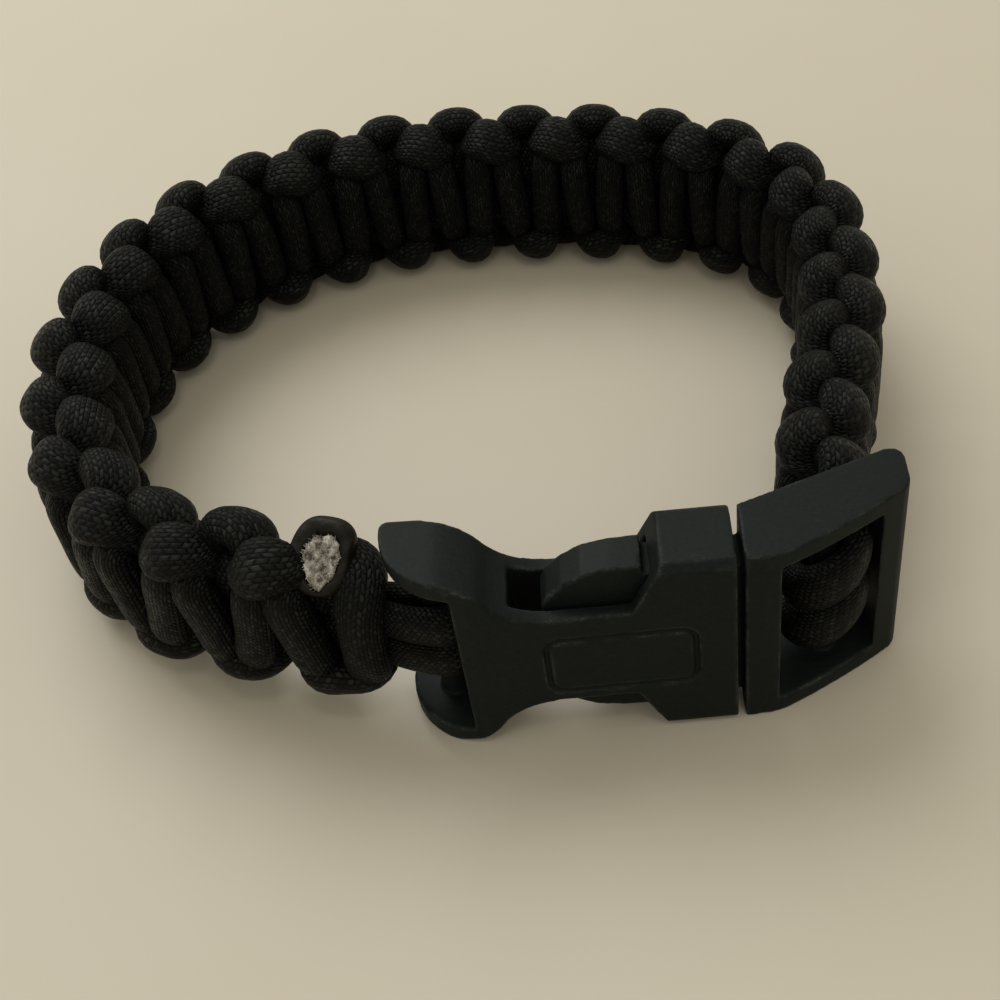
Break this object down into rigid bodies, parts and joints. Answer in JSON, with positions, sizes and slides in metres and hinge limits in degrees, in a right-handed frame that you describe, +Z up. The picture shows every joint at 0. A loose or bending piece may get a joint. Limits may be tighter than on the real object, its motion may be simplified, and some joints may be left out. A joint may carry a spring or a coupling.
{
  "type": "paracord bracelet",
  "caption": "Woven cord wrist bracelet, closed by a plastic side-release buckle, with one melted cord end showing.",
  "frame": {"origin": "middle of the bounding box's underside, on the surface that the bracelet stands on", "axes": "+Z up along the loop's axis, across the band's width; +X along the front of the loop, from the buckle's receptacle to its plug; -Y out of the loop's front, with the buckle turned 2 degrees from it"},
  "size_m": [0.0864, 0.0772, 0.0216],
  "materials": {
    "black_cord": "braided nylon, soft sheen",
    "melted_rim": "melted nylon, uneven and slightly glossy",
    "white_core": "cut white fibres",
    "black_plastic": "moulded, satin, finely textured"
  },
  "bodies": {
    "root": {"woven_band": "black_cord", "receptacle_loop_upper": "black_cord", "receptacle_loop_lower": "black_cord", "plug_loop_upper": "black_cord", "plug_loop_lower": "black_cord", "cord_end_rim": "melted_rim", "cord_end_core": "white_core", "buckle_receptacle": "black_plastic", "buckle_plug": "black_plastic"}
  },
  "joints": []
}
